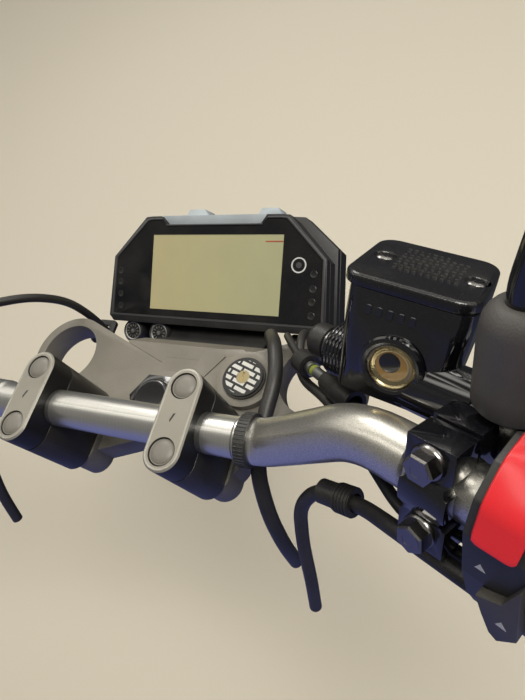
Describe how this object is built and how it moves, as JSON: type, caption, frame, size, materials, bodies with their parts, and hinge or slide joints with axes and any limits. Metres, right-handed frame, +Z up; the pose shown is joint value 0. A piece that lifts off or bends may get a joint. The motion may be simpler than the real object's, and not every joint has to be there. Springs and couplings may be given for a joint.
{
  "type": "motorcycle handlebar cockpit",
  "caption": "Handlebar on its upper fork yoke, with display, ignition lock, brake cylinder, levers, switch housings, grips and mirrors.",
  "frame": {"origin": "on the steering stem's axis at the underside of the upper yoke", "axes": "+Z up along the steering stem, +Y forward at right angles to it, +X to the rider's right"},
  "size_m": [0.7442, 0.3147, 0.3766],
  "materials": {
    "yoke_paint": "satin warm grey paint",
    "clamp_paint": "dark satin paint",
    "cap_paint": "warm grey paint with machined edges",
    "bar_metal": "satin silver",
    "steel": "zinc",
    "bolt_zinc": "dark zinc",
    "lock_body": "black",
    "lock_face": "black",
    "key_brass": "polished",
    "plug_rubber": "matte",
    "band_plastic": "matte",
    "case_plastic": "fine grain",
    "front_gloss": "gloss black",
    "screen": "pale display",
    "strip_pale": "pale blue grey",
    "bracket_paint": "black",
    "control_gloss": "gloss black",
    "lid_satin": "satin black",
    "sight_brass": "polished",
    "sight_fluid": "amber",
    "lever_metal": "satin silver",
    "switch_black": "matte black",
    "stop_red": "satin red",
    "button_grey": "dark grey",
    "tube_plastic": "matte",
    "grip_rubber": "ribbed",
    "bar_end_metal": "black anodised",
    "boot_rubber": "matte grey",
    "stem_gloss": "gloss black",
    "mirror_shell": "satin black",
    "mirror_face": "silvered",
    "cable_rubber": "matte"
  },
  "bodies": {
    "cockpit": {"bar_cap_left": "cap_paint", "bar_cap_right": "cap_paint", "bar_end_left": "bar_end_metal", "bar_end_right": "bar_end_metal", "bar_holders": "clamp_paint", "brake_cylinder": "control_gloss", "brake_hose": "cable_rubber", "cable_guides": "bracket_paint", "cable_rod": "steel", "clamp_bolts": "bolt_zinc", "clamp_plugs": "plug_rubber", "clutch_adjuster": "steel", "clutch_cable": "cable_rubber", "clutch_perch": "control_gloss", "control_clamp_left": "control_gloss", "control_clamp_right": "control_gloss", "grip_left": "grip_rubber", "handlebar": "bar_metal", "hose_union": "cable_rubber", "ignition_lock": "lock_body", "left_buttons": "button_grey", "lever_pins": "steel", "lock_cowl": "case_plastic", "lock_face": "lock_face", "lock_key_barrel": "key_brass", "loom_band": "band_plastic", "loom_joints": "cable_rubber", "loom_left": "cable_rubber", "loom_right": "cable_rubber", "meter_case": "case_plastic", "meter_hood": "strip_pale", "meter_knobs": "case_plastic", "meter_panel": "front_gloss", "meter_screen": "screen", "meter_stay": "bracket_paint", "mirror_boot_left": "boot_rubber", "mirror_boot_right": "boot_rubber", "mirror_stem_left": "stem_gloss", "mirror_stem_right": "stem_gloss", "reservoir_lid": "lid_satin", "sight_ring": "sight_brass", "sight_window": "sight_fluid", "starter_switch": "button_grey", "stem_nut": "steel", "stop_switch": "stop_red", "switch_left": "switch_black", "switch_right": "switch_black", "throttle_cable": "cable_rubber", "throttle_return": "cable_rubber", "top_yoke": "yoke_paint", "wire_sheath": "cable_rubber"},
    "brake_lever": {"brake_lever": "lever_metal"},
    "clutch_lever": {"clutch_lever": "lever_metal"},
    "throttle": {"throttle_tube": "tube_plastic", "grip_right": "grip_rubber"},
    "mirror_right": {"mirror_head_right": "mirror_shell", "mirror_glass_right": "mirror_face"},
    "mirror_left": {"mirror_head_left": "mirror_shell", "mirror_glass_left": "mirror_face"}
  },
  "joints": [
    {"name": "brake_lever_pivot", "type": "hinge", "parent": "cockpit", "child": "brake_lever", "pos_m": [0.21568, -0.00548, 0.10285], "axis": [0.0433, -0.4433, -0.8953], "range_deg": [0, 9], "stiffness_Nm_per_rad": 2, "springref_deg": -17.19},
    {"name": "clutch_lever_pivot", "type": "hinge", "parent": "cockpit", "child": "clutch_lever", "pos_m": [-0.21568, -0.00548, 0.10285], "axis": [0.0433, 0.4433, 0.8953], "range_deg": [0, 9], "stiffness_Nm_per_rad": 2, "springref_deg": -17.19},
    {"name": "throttle_twist", "type": "hinge", "parent": "cockpit", "child": "throttle", "pos_m": [0.28179, -0.08446, 0.1418], "axis": [0.8786, -0.4097, 0.2453], "range_deg": [0, 80], "stiffness_Nm_per_rad": 0.3, "springref_deg": -28.65},
    {"name": "mirror_right_turn", "type": "hinge", "parent": "cockpit", "child": "mirror_right", "pos_m": [0.26439, 0.00139, 0.26598], "axis": [0.5825, -0.1232, 0.8034], "range_deg": [-15, 15]},
    {"name": "mirror_left_turn", "type": "hinge", "parent": "cockpit", "child": "mirror_left", "pos_m": [-0.26439, 0.00139, 0.26598], "axis": [-0.5825, -0.1232, 0.8034], "range_deg": [-15, 15]}
  ]
}
